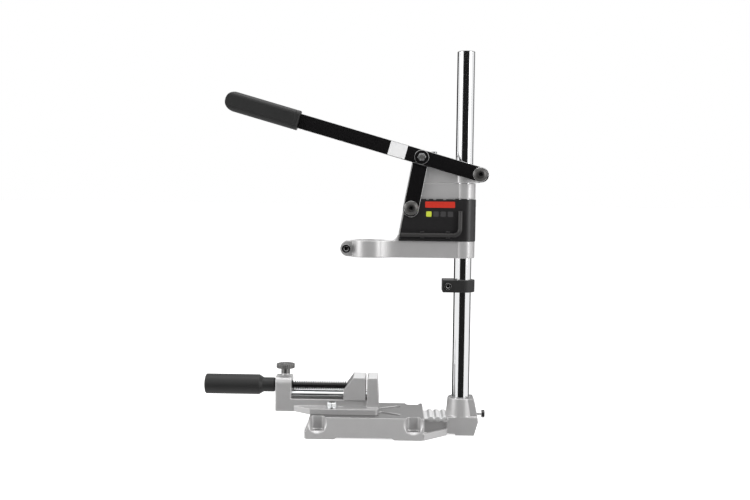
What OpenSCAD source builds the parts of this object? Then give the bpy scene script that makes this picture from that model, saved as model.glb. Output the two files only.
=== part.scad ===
// Drill stand: a chromed column on a cast base, a spring-loaded carriage with a collar for
// the drill's neck, a feed lever with two links, a depth stop ring and a small machine vice.
// The origin is on the column's axis, at the bench. +X points to the back, +Z up.

/* [Column] */
// Diameter of the column
column_d = 25; // [24:0.5:27]
// Height of the column's top above the bench
column_top = 542; // [500:1:620]
// Wall of the column tube
column_wall = 2; // [1.5:0.5:4]
// Rounding of the tube's top rim
column_rim_r = 0.9; // [0.4:0.1:1.2]

/* [Base] */
// Height of the table above the bench
table_h = 29.5; // [27:0.5:36]
// Thickness of the table top over its hollow cells
table_t = 8; // [6:0.5:12]
// Length of the base plate
plate_l = 167; // [160:1:200]
// Width of the base plate
plate_w = 107; // [102:1:130]
// Distance from the column's axis to the base plate
plate_gap = 53; // [48:1:70]
// Height of the step at the plate's front end
step_h = 10.5; // [8:0.5:12]
// How far the plate's sides lean in over their height
side_draft = 6; // [2:0.5:7]
// Length of each foot under the plate
foot_l = 42; // [30:1:60]
// Height of the arch between the feet
arch_h = 2.2; // [1:0.1:3]
// Wall between the hollow cells
cell_wall = 4; // [3:0.5:6]
// Width of a bolt pocket
pocket_w = 19; // [17:0.5:22]
// Depth of a bolt pocket, from the plate's side
pocket_d = 15; // [14:0.5:18]
// Thickness of the floor of a bolt pocket
pocket_floor = 11; // [8:0.5:13]
// Width of a slot for a bench bolt
bench_slot_w = 8.5; // [6.5:0.5:9]
// Length of a slot for a bench bolt
bench_slot_l = 14; // [11:0.5:15]
// Height of the column socket above the bench
socket_h = 51.5; // [46:0.5:70]
// Wall of the column socket at its mouth
socket_wall = 6; // [5:0.5:8]
// Thickness of the floor under the column
socket_floor = 6; // [4:0.5:10]
// Width of the socket's foot block
socket_block_w = 44; // [43:1:52]
// Height of the socket's foot block
socket_block_h = 26; // [24:0.5:32]
// Number of ribs across the neck
neck_ribs = 3; // [2:1:3]
// Diameter of the screw that locks the column
socket_screw_d = 5.6; // [4:0.2:6]
// Height of that screw above the bench
socket_screw_z = 27; // [24:0.5:34]

/* [Vice] */
// Width of the jaws
jaw_w = 45; // [44:1:60]
// Height of the jaws above the flange
jaw_h = 42; // [40:1:50]
// Length of the moving jaw
jaw_l = 31.3; // [28:0.1:40]
// Gap between the jaws as they stand
jaw_gap = 2; // [1:0.5:6]
// Length of the fixed jaw
fixed_jaw_l = 16.8; // [14:0.1:24]
// Thickness of the vice's flange
flange_t = 8.5; // [6:0.5:12]
// Width of the vice's flange
flange_w = 68; // [66:1:84]
// Length of the bed between the fixed jaw and the front block
bed_l = 108.4; // [104:0.1:130]
// Width of the bed and the front block
bed_w = 34; // [34:1:36]
// Height of the bed above the flange
bed_h = 9.5; // [8:0.5:12]
// Length of the front block
front_block_l = 22.8; // [20:0.1:30]
// Diameter of the guide rods
rod_d = 8; // [6:0.5:9]
// Distance between the guide rods
rod_gap = 16; // [15:0.5:18]
// Diameter of the vice screw
vice_screw_d = 12; // [10:0.5:12.5]
// Pitch of the vice screw
vice_pitch = 3.3; // [2:0.1:4]
// Depth of the vice screw's thread
vice_thread_depth = 1.8; // [0.8:0.1:1.8]
// Diameter of the vice handle
handle_d = 28.6; // [24:0.2:34]
// Length of the vice handle's thick part
handle_l = 79; // [60:1:100]
// Diameter of the vice handle's collar
handle_neck_d = 20.6; // [16:0.2:24]
// Length of the vice handle's taper and collar
handle_neck_l = 21; // [16:0.5:30]
// Diameter of the lock knob
knob_d = 26.4; // [22:0.2:32]
// Thickness of the lock knob's disc
knob_t = 6; // [4:0.5:9]
// Diameter of the lock knob's neck
knob_neck_d = 12.8; // [11:0.2:15]
// Height of the lock knob's neck
knob_neck_h = 7.4; // [6:0.1:14]
// Diameter of the vice's hold-down bolts
hold_bolt_d = 8; // [6:0.5:8]

/* [Carriage] */
// Reach from the column's axis to the drill's axis
reach = 133; // [126:1:150]
// Diameter of the bore for the drill's neck
collar_d = 43; // [38:0.5:46]
// Wall of the drill collar
collar_wall = 6; // [5:0.5:9]
// Height of the arm and the collar
arm_h = 24; // [20:0.5:28]
// Height of the arm's underside above the bench
arm_z = 251.5; // [220:0.5:300]
// Height of the whole carriage
carriage_h = 105.7; // [102:0.1:125]
// Height of the carriage's upper boss
upper_h = 22; // [14:0.2:24]
// Width of the carriage's arm and web
web_w = 28; // [27:0.5:30]
// Radius of the bosses round the column
boss_r = 16.4; // [16:0.1:17]
// Wall of the bushes
bush_wall = 1.45; // [1:0.05:1.8]
// Distance from the column's axis to the web's lower front corner
web_front = 94; // [90:0.5:100]
// How far the web's front edge leans back over its height
web_lean = 19; // [12:0.5:22]
// Height of the web's horn above the carriage's upper face
horn_h = 25; // [16:0.5:26]
// Thickness of the web between its rims
web_core = 10; // [6:0.5:14]
// Diameter of the collar's clamp screw
collar_screw_d = 8; // [6:0.5:8]
// Reach of the collar's ears past the bore
ear_l = 20; // [18.5:0.5:26]
// Width of the slit in the collar
collar_slit = 3; // [2:0.5:5]

/* [Cover] */
// Radius of the cover round the column, and half its width
cover_r = 17.2; // [17:0.1:17.4]
// Wall of the cover
cover_wall = 2; // [1.6:0.1:2.2]
// Width of the hex key across its flats
key_w = 5.6; // [4:0.1:6]
// Height of the hex key's long arm above the carriage arm
key_rise = 8.8; // [7.5:0.1:12]
// Length of the hex key's long arm
key_long = 75; // [66:1:84]
// Length of the hex key's short arm
key_short = 34; // [26:1:40]
// Bend radius of the hex key
key_bend = 9; // [7:0.5:12]

/* [Lever] */
// Travel of the carriage down to the stop ring
feed_stroke = 30; // [20:1:34]
// Distance of the fulcrum bolt behind the column's axis
fulcrum_back = 20.3; // [20:0.1:28]
// Height of the fulcrum bolt above the fulcrum block's underside
fulcrum_rise = 11.9; // [11.5:0.1:18]
// Rise of the lever above level, as it stands
lever_angle = 15.85; // [10:0.05:17]
// Width of the lever's strips
lever_w = 21; // [20:0.5:26]
// Thickness of the lever's strips
lever_t = 4; // [2:0.1:5]
// Distance from the fulcrum bolt to the grip's end
lever_l = 369; // [340:1:420]
// Distance from the fulcrum bolt to the mid bolt
mid_pivot = 85; // [82:0.1:90]
// Length of the grip
grip_l = 106; // [90:1:130]
// Width of the grip
grip_w = 27.5; // [26:0.5:34]
// Thickness of the grip
grip_t = 19; // [14:0.5:24]
// Distance of the lower bolt in front of the column's axis
lower_pivot = 75; // [70:0.1:78]
// Height of the lower bolt above the arm's underside
lower_rise = 70.3; // [60:0.1:71]
// Width of the links
link_w = 22; // [16:0.2:23]
// Thickness of the links
link_t = 2.8; // [2:0.1:3]
// Diameter of the fulcrum bolt
fulcrum_bolt_d = 10; // [8:0.5:11]
// Diameter of the mid bolt
mid_bolt_d = 6; // [5:0.5:8]
// Diameter of the lower bolt
lower_bolt_d = 8; // [6:0.5:10]
// Diameter of the low round bolt heads
bolt_head_d = 20.4; // [16:0.2:22]
// Height of the low round bolt heads
bolt_head_h = 3.8; // [3:0.1:5]

/* [Stop ring] */
// Height of the stop ring
stop_h = 17.4; // [14:0.2:24]
// Radius of the stop ring
stop_r = 17.4; // [16.5:0.1:20]
// Reach of the stop ring's lug in front of the column's axis
stop_lug = 28.8; // [26:0.2:34]
// Diameter of the stop ring's screw
stop_screw_d = 6; // [5:0.5:6]

/* [Spring] */
// Diameter of the spring's wire
wire_d = 1.6; // [1.2:0.1:1.6]
// Number of curls
spring_curls = 7; // [5:1:8]
// Height of the spring's seat ring
seat_h = 8; // [6:0.5:12]
// Radius of the spring's seat ring
seat_r = 14.6; // [14.2:0.1:14.8]

/* [Fits] */
// Radial clearance of a running or sliding fit
fit = 0.05; // [0.02:0.01:0.1]
// Gap between faces that pass each other
face_gap = 0.4; // [0.3:0.05:0.6]
// Play of the links on the mid bolt
mid_play = 1.3; // [1.2:0.1:1.6]

/* [Hidden] */
$fn = 64;

alloy = "#a9a8a8";
bright_steel = "#c9cbcd";
grey_steel = "#7d7c7b";
black_steel = "#1c1b1b";
black_plastic = "#2b2a2b";
grip_plastic = "#393939";
bronze = "#b08d57";

// A cut runs this far past the face it opens
over = 1;

// Places along the column
column_r = column_d / 2;
arm_top = arm_z + arm_h;
carriage_top = arm_z + carriage_h;
upper_z = carriage_top - upper_h;
block_z = carriage_top + face_gap;
stop_top = arm_z - feed_stroke - 2 * face_gap;
stop_z = stop_top - stop_h;

// Places of the base
plate_back = -plate_gap;
plate_front = plate_back - plate_l;
plate_half = plate_w / 2;
pocket_front_x = plate_front + 18;
pocket_back_x = plate_back - 15;
bench_y = plate_half - pocket_d / 2 - 2.5;
cell_y = plate_half - pocket_d - 2;
neck_back = -socket_block_w / 2 + 2;
socket_r = column_r + socket_wall;
lug_back = socket_r + 5.8;

// Places of the vice, which stands with its fixed jaw under the drill's axis
vice_x = -reach - 1;
flange_top = table_h + flange_t;
bed_top = flange_top + bed_h;
jaw_top = flange_top + jaw_h;
rod_z = bed_top + rod_d / 2 + 2;
rod_y = rod_gap / 2;
screw_z = rod_z + 11;
front_x1 = vice_x - bed_l;
front_x0 = front_x1 - front_block_l;
front_top = jaw_top - 1;
knob_x = (front_x0 + front_x1) / 2 + 1.6;
knob_boss_h = 3;
knob_z = front_top + knob_boss_h;
jaw_face = vice_x - jaw_gap;
jaw_front = jaw_face - jaw_l;
hold_x = vice_x - 49.3;
hold_y = (bed_w + flange_w) / 4;
hold_head_h = 5.3;
hold_nut_h = 6.5;
hold_washer_t = 1.6;
thread_gap = 0.3;
key_r = 4;
nose_r = 4;
nose_l = 12;
rod_bury = 9;
knob_shank_l = 7;
handle_x = front_x0 - 2.3;
tang_r = vice_screw_d / 2 - vice_thread_depth - 0.6;
tang_l = 14;

// Places of the carriage, the lever and the links; a pivot is [x, z]
bush_r = column_r + bush_wall + fit;
web_half = web_w / 2;
ear_r = arm_h / 2 - 0.8;
ear_x = -reach - collar_d / 2 - ear_l + ear_r;
ear_half = web_half - 1;
ear_z = arm_z + arm_h / 2;
clamp_screw = [ear_x - 2.3, ear_z];
pivot_boss_r = 9;
pivot_boss_y = cover_r + 0.2;
link_y = cover_r + face_gap;
strip_y = max(link_y + link_t + 0.7, collar_d / 2 + 0.3);
strip_out = strip_y + lever_t;
fulcrum = [fulcrum_back, block_z + fulcrum_rise];
mid = fulcrum + mid_pivot * [-cos(lever_angle), sin(lever_angle)];
lower = [-lower_pivot, arm_z + lower_rise];
link_l = norm(mid - lower);
link_lean = atan2(mid[0] - lower[0], mid[1] - lower[1]);
strip_tail = 1.8;
link_tail = 2;
strip_end = lever_l - 34;
grip_start = lever_l - grip_l;
spacer_r = mid_bolt_d / 2 + 3;
nose_x = fulcrum_back - mid_pivot + spacer_r + 1.2;
nose_lean = mid_pivot * (1 - cos(lever_angle)) + 1;
nose_top = fulcrum[1] + (fulcrum_back + 38) * tan(lever_angle) + 9;
horn_top = carriage_top + horn_h;
horn_back = nose_x - 2;
horn_half = web_half - 1.5;
block_boss_r = column_r + 4.9;
block_boss_h = 22;
stop_screw_x = mid[0] + 17.6;
stop_screw_y = -7;
set_screw_d = 8;
set_screw_l = 16;
head_gap = 0.3;

// Places of the cover and the hex key
cover_z0 = arm_top;
cover_z1 = upper_z - 0.3;
key_y = -cover_r - 0.4 - key_w / sqrt(3);
key_z = arm_top + key_rise;
key_x = -6;
clip_places = [key_x - 53, key_x - 17];
clip_w = 5;

// Places of the spring
seat_z = arm_top + 0.8;
seat_top = seat_z + seat_h;
spring_r = (column_r + cover_r - cover_wall) / 2 + 0.1;

// Front edge of the carriage's web at a height z
function web_x(z) = -web_front + (z - arm_top) * web_lean / (carriage_top + horn_h - arm_top);

// A round bar along Y at [x, z]
module bar_y(place, r, y0, y1) {
    translate([place[0], y0, place[1]])
    rotate([-90, 0, 0])
    cylinder(r = r, h = y1 - y0);
}

// A round bar along X at [y, z]
module bar_x(place, r, x0, x1) {
    translate([x0, place[0], place[1]])
    rotate([0, 90, 0])
    cylinder(r = r, h = x1 - x0);
}

// A hexagonal bar along Y at [x, z], by its width across the flats
module hex_y(place, w, y0, y1) {
    translate([place[0], y0, place[1]])
    rotate([-90, 0, 0])
    cylinder(d = w / cos(30), h = y1 - y0, $fn = 6);
}

// An outline in XZ, drawn as children, given a thickness along Y
module along_y(y0, y1) {
    translate([0, y1, 0])
    rotate([90, 0, 0])
    linear_extrude(y1 - y0)
    children();
}

// An outline in YZ, drawn as children, given a thickness along X
module along_x(x0, x1) {
    translate([x0, 0, 0])
    rotate([90, 0, 90])
    linear_extrude(x1 - x0)
    children();
}

// A rectangle with round corners
module round_rect(x0, x1, y0, y1, r) {
    translate([x0 + r, y0])
    square([x1 - x0 - 2 * r, y1 - y0]);
    translate([x0, y0 + r])
    square([x1 - x0, y1 - y0 - 2 * r]);
    for (x = [x0 + r, x1 - r], y = [y0 + r, y1 - r])
        translate([x, y])
        circle(r);
}

// A slot along X, by its overall length and width
module slot_2d(l, w) {
    square([l - w, w], center = true);
    for (side = [-1, 1])
        translate([side * (l - w) / 2, 0])
        circle(d = w);
}

// A low round head on +Z, a cap of a sphere, with a hexagonal socket
module low_head(d, h, socket_w) {
    cap_r = (d * d / 4 + h * h) / (2 * h);
    rim = 0.8;
    difference() {
        intersection() {
            cylinder(d = d, h = h);
            translate([0, 0, h + rim - cap_r - rim * 0.2])
            sphere(cap_r + rim * 0.2);
        }
        translate([0, 0, h - 2.6])
        cylinder(d = socket_w / cos(30), h = 2.6 + over, $fn = 6);
    }
}

// A bolt along Y at [x, z]: low head on the near side, shank to the far side
module low_head_bolt(place, shank_d, head_y, end_y) {
    bar_y(place, shank_d / 2, -head_y, end_y);
    translate([place[0], -head_y, place[1]])
    rotate([90, 0, 0])
    low_head(bolt_head_d, bolt_head_h, 5);
}

// A cap screw along Y at [x, z]: head on the near side
module cap_screw_y(place, d, head_y, end_y) {
    head_d = 1.56 * d;
    bar_y(place, d / 2, -head_y, end_y);
    difference() {
        bar_y(place, head_d / 2, -head_y - d, -head_y);
        hex_y(place, 0.75 * d, -head_y - d - over, -head_y - d / 2);
    }
}

// A hexagonal nut along Y at [x, z]
module nut_y(place, bore_d, w, y0, y1) {
    difference() {
        hex_y(place, w, y0, y1);
        bar_y(place, bore_d / 2 + fit, y0 - over, y1 + over);
    }
}

// The lever's own frame: the fulcrum at the origin, the lever along -X
module at_lever() {
    translate([fulcrum[0], 0, fulcrum[1]])
    rotate([0, lever_angle, 0])
    children();
}

module plate_outline() {
    foot_slope = 3;
    polygon([[plate_front, 0], [plate_front + foot_l, 0], [plate_front + foot_l + foot_slope, arch_h],
             [plate_back - foot_l - foot_slope, arch_h], [plate_back - foot_l, 0], [plate_back, 0],
             [plate_back, table_h], [plate_front + 6.5, table_h], [plate_front + 2, step_h],
             [plate_front, step_h]]);
}

module plate_section() {
    top_half = plate_half - side_draft;
    polygon([[-plate_half, -over], [plate_half, -over], [plate_half, 0], [top_half, table_h],
             [-top_half, table_h], [-plate_half, 0]]);
}

// A pocket in the plate's side for a bench bolt, with a scoop that opens it and a slot in its floor
module bolt_pocket(x, side) {
    corner_r = 5;
    inner_y = plate_half - pocket_d;
    scoop_r = 7;
    scoop_l = 12;
    mirror([0, side > 0 ? 0 : 1, 0]) {
        translate([0, 0, pocket_floor])
        linear_extrude(table_h)
        round_rect(x - pocket_w / 2, x + pocket_w / 2, inner_y, plate_half + 2 * corner_r, corner_r);
        translate([x, plate_half + over - scoop_l, table_h - 5.5])
        rotate([-90, 0, 0])
        cylinder(r1 = scoop_r, r2 = scoop_r + scoop_l, h = scoop_l);
        translate([x, bench_y, -over])
        linear_extrude(pocket_floor + 2 * over)
        slot_2d(bench_slot_l, bench_slot_w);
    }
}

// Hollow cells under the table, three along and two across
module table_cells() {
    columns = 3;
    cell_x0 = plate_front + 9;
    cell_l = (plate_back - 5 - cell_x0 - (columns - 1) * cell_wall) / columns;
    for (i = [0 : columns - 1], side = [-1, 1])
        translate([cell_x0 + i * (cell_l + cell_wall), side > 0 ? cell_wall / 2 : -cell_y, -over])
        cube([cell_l, cell_y - cell_wall / 2, table_h - table_t + over]);
}

// Four slots through the table top for the vice's bolts, along the table's diagonals
module table_slots() {
    middle = (plate_front + plate_back) / 2;
    far = [middle - hold_x, hold_y];
    near = 0.5 * far;
    translate([middle, 0, table_h - table_t - over])
    linear_extrude(table_t + 2 * over)
    for (turn = [0, 1], side = [0, 1])
        mirror([turn, 0])
        mirror([0, side])
        translate((far + near) / 2)
        rotate(atan2(far[1], far[0]))
        slot_2d(norm(far - near) + hold_bolt_d + 1, hold_bolt_d + 1);
}

module neck() {
    bar_w = 7;
    bar_h = 9.5;
    bar_half = plate_half - 1;
    block_half = socket_block_w / 2;
    deck_z = table_h - 8;
    deck_t = 3.6;
    deck_half = block_half + 2;
    rib_r = 4.2;
    rib_z = table_h - 1.9 - rib_r;
    rib_step = (neck_back - plate_back) / (neck_ribs + 1 / 3);
    core_half = 0.36 * socket_block_w;
    inside = plate_back - 2;
    linear_extrude(bar_h)
    difference() {
        polygon([[inside, -bar_half], [plate_back, -bar_half], [neck_back, -block_half],
                 [neck_back, block_half], [plate_back, bar_half], [inside, bar_half]]);
        polygon([[plate_back, -bar_half + bar_w], [neck_back, -block_half + bar_w],
                 [neck_back, block_half - bar_w], [plate_back, bar_half - bar_w]]);
    }
    translate([inside, -core_half, arch_h])
    cube([neck_back - inside + over, 2 * core_half, deck_z - arch_h + over]);
    translate([inside, -deck_half, deck_z])
    cube([neck_back + over - inside, 2 * deck_half, deck_t]);
    for (i = [1 : neck_ribs])
        bar_y([plate_back + i * rib_step, rib_z], rib_r, -deck_half, deck_half);
}

module socket() {
    corner_r = 8;
    block_half = socket_block_w / 2 + 0.05;
    block_draft = 1.8;
    lug_half = 16;
    foot_x = -8;
    difference() {
        union() {
            intersection() {
                along_y(-socket_block_w, socket_block_w)
                polygon([[neck_back - 2, 0], [socket_r, 0], [lug_back, socket_screw_z - 8],
                         [lug_back - 0.8, socket_block_h], [neck_back - 2, socket_block_h]]);
                translate([0, 0, -over])
                linear_extrude(socket_block_h + 2 * over)
                round_rect(neck_back - 2, lug_back + corner_r, -socket_block_w / 2, socket_block_w / 2, corner_r);
                along_x(neck_back - corner_r, lug_back + corner_r)
                polygon([[-block_half, -over], [block_half, -over], [block_half - block_draft, socket_block_h + over],
                         [block_draft - block_half, socket_block_h + over]]);
            }
            translate([0, 0, socket_block_h])
            cylinder(r1 = socket_r + 2.4, r2 = socket_r, h = socket_h - socket_block_h);
            along_y(-lug_half, lug_half)
            polygon([[column_r - 2, 0], [socket_r, 0], [lug_back, socket_screw_z - 8],
                     [lug_back - 1.4, socket_screw_z + 3.6], [socket_r, socket_h], [column_r - 2, socket_h]]);
        }
        translate([neck_back - corner_r, -socket_block_w, -over])
        cube([foot_x - neck_back + corner_r, 2 * socket_block_w, arch_h + over]);
        translate([0, 0, socket_floor])
        cylinder(r = column_r + fit, h = socket_h);
        bar_x([0, socket_screw_z], socket_screw_d / 2 + fit, column_r - over, lug_back + over);
    }
}

module base_casting() color(alloy) {
    difference() {
        intersection() {
            along_y(-plate_half, plate_half)
            plate_outline();
            along_x(plate_front - over, plate_back + over)
            plate_section();
            linear_extrude(2 * table_h)
            round_rect(plate_front, plate_back, -plate_half, plate_half, 4);
        }
        table_cells();
        for (x = [pocket_front_x, pocket_back_x], side = [-1, 1])
            bolt_pocket(x, side);
        table_slots();
    }
    neck();
    socket();
}

module column() color(bright_steel)
    rotate_extrude() {
        inner = column_r - column_wall;
        translate([inner, socket_floor])
        square([column_wall, column_top - column_rim_r - socket_floor]);
        translate([inner, column_top - 2 * column_rim_r])
        square([column_wall - column_rim_r, 2 * column_rim_r]);
        translate([column_r - column_rim_r, column_top - column_rim_r])
        circle(column_rim_r);
    }

module column_plug() color(black_plastic) {
    plug_l = 14;
    plug_top = column_top - 1.5;
    translate([0, 0, plug_top - plug_l])
    difference() {
        cylinder(r = column_r - column_wall, h = plug_l);
        translate([0, 0, -over])
        cylinder(r = column_r - column_wall - 2, h = plug_l - 2);
    }
}

module socket_screw() color(grey_steel) {
    head_x = lug_back + 6.3;
    head_l = 4.4;
    head_w = 1.8 * socket_screw_d;
    bar_x([0, socket_screw_z], socket_screw_d / 2, column_r + fit, head_x);
    translate([head_x, 0, socket_screw_z])
    rotate([0, 90, 0])
    cylinder(d = head_w / cos(30), h = head_l, $fn = 6);
}

module vice_body() color(alloy) {
    corner_r = 6;
    flange_back = vice_x + fixed_jaw_l;
    flange_front = vice_x - 80;
    wing_x = front_x1 + 4.5;
    shoulder_r = 11;
    rail_w = 3.5;
    channel_d = 7;
    difference() {
        union() {
            translate([0, 0, table_h])
            linear_extrude(flange_t) {
                round_rect(flange_front - 2, flange_back, -flange_w / 2, flange_w / 2, corner_r);
                polygon([[wing_x, -bed_w / 2], [flange_front, -flange_w / 2], [flange_back - corner_r, -flange_w / 2],
                         [flange_back - corner_r, flange_w / 2], [flange_front, flange_w / 2], [wing_x, bed_w / 2]]);
            }
            translate([front_x1 - over, -bed_w / 2, table_h])
            cube([bed_l + fixed_jaw_l - 2, bed_w, bed_top - table_h]);
            along_y(-jaw_w / 2, jaw_w / 2)
            polygon([[vice_x, table_h + 1], [vice_x, jaw_top - 2], [vice_x + 1.2, jaw_top],
                     [flange_back - 2, jaw_top], [flange_back - 1.2, jaw_top - 12], [flange_back, bed_top],
                     [flange_back, table_h + 1]]);
            intersection() {
                translate([0, 0, table_h])
                linear_extrude(jaw_top)
                round_rect(front_x0, front_x1, -bed_w / 2, bed_w / 2, 2);
                along_x(front_x0 - over, front_x1 + over)
                round_rect(-bed_w / 2, bed_w / 2, table_h - 2 * shoulder_r, front_top, shoulder_r);
            }
            translate([knob_x, 0, front_top - 2])
            cylinder(d = knob_neck_d, h = knob_boss_h + 2);
        }
        translate([front_x1, rail_w - bed_w / 2, bed_top - channel_d])
        cube([bed_l, bed_w - 2 * rail_w, channel_d + over]);
        bar_x([0, screw_z], vice_screw_d / 2 + thread_gap, front_x0 - over, front_x1 + over);
        for (side = [-1, 1]) {
            bar_x([side * rod_y, rod_z], rod_d / 2, front_x0 + 6, vice_x + rod_bury);
            translate([hold_x, side * hold_y, 0])
            cylinder(d = hold_bolt_d + 1, h = 2 * flange_top);
        }
        translate([knob_x, 0, screw_z])
        cylinder(r = key_r + fit, h = knob_z);
    }
}

module guide_rods() color(bright_steel)
    for (side = [-1, 1])
        bar_x([side * rod_y, rod_z], rod_d / 2, front_x0 + 6, vice_x + rod_bury);

// Brass plug under the lock knob, hollowed to lie on the vice screw
module thread_key() color(bronze)
    difference() {
        translate([knob_x, 0, screw_z + 2])
        cylinder(r = key_r, h = knob_z - knob_shank_l - screw_z - 2);
        bar_x([0, screw_z], vice_screw_d / 2 + thread_gap, front_x0, front_x1);
    }

module vice_bolts() color(grey_steel)
    for (side = [-1, 1])
        translate([hold_x, side * hold_y, 0]) {
            bolt_end = flange_top + hold_washer_t + hold_nut_h + 0.6;
            bolt_foot = table_h - table_t;
            translate([0, 0, bolt_foot])
            cylinder(d = hold_bolt_d, h = bolt_end - bolt_foot);
            translate([0, 0, bolt_foot - hold_head_h])
            cylinder(d = 1.625 * hold_bolt_d / cos(30), h = hold_head_h, $fn = 6);
        }

module vice_washers() color(bright_steel)
    for (side = [-1, 1])
        translate([hold_x, side * hold_y, flange_top])
        difference() {
            cylinder(d = 1.95 * hold_bolt_d, h = hold_washer_t);
            translate([0, 0, -over])
            cylinder(d = hold_bolt_d + 0.4, h = hold_washer_t + 2 * over);
        }

module vice_nuts() color(bright_steel)
    for (side = [-1, 1])
        translate([hold_x, side * hold_y, flange_top + hold_washer_t])
        difference() {
            rotate([0, 0, 30])
            cylinder(d = 1.625 * hold_bolt_d / cos(30), h = hold_nut_h, $fn = 6);
            translate([0, 0, -over])
            cylinder(d = hold_bolt_d + 2 * fit, h = hold_nut_h + 2 * over);
        }

module moving_jaw() color(alloy) {
    jaw_z = bed_top + 0.9;
    slope_z = screw_z - 3;
    slope_x = 13.3;
    difference() {
        along_y(-jaw_w / 2, jaw_w / 2)
        polygon([[jaw_front, jaw_z], [jaw_face, jaw_z], [jaw_face, jaw_top - 2], [jaw_face - 1.2, jaw_top],
                 [jaw_front + slope_x, jaw_top], [jaw_front, slope_z]]);
        for (side = [-1, 1])
            bar_x([side * rod_y, rod_z], rod_d / 2 + fit, jaw_front - over, jaw_face + over);
        bar_x([0, screw_z], nose_r + fit, jaw_front - over, jaw_front + nose_l + 0.3);
        bar_x([0, screw_z], vice_screw_d / 2 + thread_gap, jaw_front - over, jaw_front + 4);
        translate([jaw_front + nose_l - 4, 0, jaw_z - over])
        cylinder(r = 1.5, h = screw_z - jaw_z - nose_r + 2.4 + over);
    }
}

// Pin that holds the screw's nose in the moving jaw by its groove
module jaw_pin() color(grey_steel)
    translate([jaw_front + nose_l - 4, 0, bed_top + 1])
    cylinder(r = 1.5, h = screw_z - nose_r - bed_top);

module vice_screw() color(black_steel) {
    thread_x1 = jaw_front + 3;
    crest = vice_screw_d / 2;
    root = crest - vice_thread_depth;
    turns = floor((thread_x1 - handle_x) / vice_pitch);
    thread_x0 = thread_x1 - turns * vice_pitch;
    groove_x = jaw_front + nose_l - 4;
    groove_half = 1.9;
    groove_r = nose_r - 1.3;
    // Outline of the thread against its length, one saw tooth a turn
    saw = [for (i = [0 : turns - 1], p = [[root, 0], [crest, 0.35], [crest, 0.55], [root, 0.9]])
               [p[0], thread_x0 + (i + p[1]) * vice_pitch]];
    translate([0, 0, screw_z])
    rotate([0, 90, 0])
    rotate_extrude()
    polygon(concat([[0, handle_x - tang_l], [tang_r, handle_x - tang_l], [tang_r, handle_x], [root, handle_x]],
                   saw,
                   [[root, thread_x1], [nose_r, thread_x1],
                    [nose_r, groove_x - groove_half], [groove_r, groove_x - groove_half],
                    [groove_r, groove_x + groove_half], [nose_r, groove_x + groove_half],
                    [nose_r, jaw_front + nose_l], [0, jaw_front + nose_l]]));
}

module vice_handle() color(grip_plastic) {
    taper_x = handle_x - handle_neck_l;
    end_x = taper_x - handle_l;
    taper_l = 5;
    rim = 1.2;
    dome = 1;
    translate([0, 0, screw_z])
    rotate([0, 90, 0])
    rotate_extrude()
    polygon([[0, end_x - dome], [handle_d / 2 - 5, end_x - dome], [handle_d / 2 - rim, end_x],
             [handle_d / 2, end_x + rim], [handle_d / 2, taper_x - 1.5], [handle_neck_d / 2, taper_x + taper_l],
             [handle_neck_d / 2, handle_x - 0.8], [handle_neck_d / 2 - 0.8, handle_x], [tang_r + fit, handle_x],
             [tang_r + fit, handle_x - tang_l - 0.5], [0, handle_x - tang_l - 0.5]]);
}

module lock_knob() color(grey_steel) {
    flutes = 24;
    flute_r = 1.1;
    shank_end = knob_z - knob_shank_l + 0.3;
    translate([knob_x, 0, 0]) {
        translate([0, 0, shank_end])
        cylinder(r = key_r, h = knob_z - shank_end + over);
        translate([0, 0, knob_z + 0.2])
        cylinder(d = knob_neck_d, h = knob_neck_h);
        difference() {
            translate([0, 0, knob_z + knob_neck_h])
            cylinder(d = knob_d, h = knob_t);
            for (i = [0 : flutes - 1])
                rotate([0, 0, i * 360 / flutes])
                translate([knob_d / 2 + 0.3, 0, knob_z + knob_neck_h - over])
                cylinder(r = flute_r, h = knob_t + 2 * over);
            translate([0, 0, knob_z + knob_neck_h + knob_t - 1])
            cylinder(d = knob_d / 4, h = 2);
        }
    }
}

module stop_ring() color(black_plastic) {
    slit = 2.4;
    screw = [-stop_lug + 7.2, stop_z + stop_h / 2];
    head_seat = stop_r - 4;
    difference() {
        translate([0, 0, stop_z])
        linear_extrude(stop_h) {
            circle(stop_r);
            translate([-stop_lug, -stop_r])
            square([stop_lug, 2 * stop_r]);
        }
        translate([0, 0, stop_z - over])
        cylinder(r = column_r + fit, h = stop_h + 2 * over);
        translate([-stop_lug - over, -slit / 2, stop_z - over])
        cube([stop_lug + over, slit, stop_h + 2 * over]);
        bar_y(screw, stop_screw_d / 2 + 0.1, -stop_r - over, stop_r - 3);
        bar_y(screw, 0.78 * stop_screw_d + 0.2, -stop_r - over, -head_seat);
    }
}

module stop_ring_screw() color(black_steel)
    cap_screw_y([-stop_lug + 7.2, stop_z + stop_h / 2], stop_screw_d, stop_r - 4, stop_r - 4);

// Ring on the column that carries the return spring
module spring_seat() color(grey_steel)
    difference() {
        translate([0, 0, seat_z])
        cylinder(r = seat_r, h = seat_h);
        translate([0, 0, seat_z - over])
        cylinder(r = column_r + fit, h = seat_h + 2 * over);
        bar_x([0, seat_z + seat_h / 2], 1.5, 0, 2 * seat_r);
    }

module seat_screw() color(black_steel)
    bar_x([0, seat_z + seat_h / 2], 1.5, column_r + fit, seat_r - 0.1);

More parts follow.
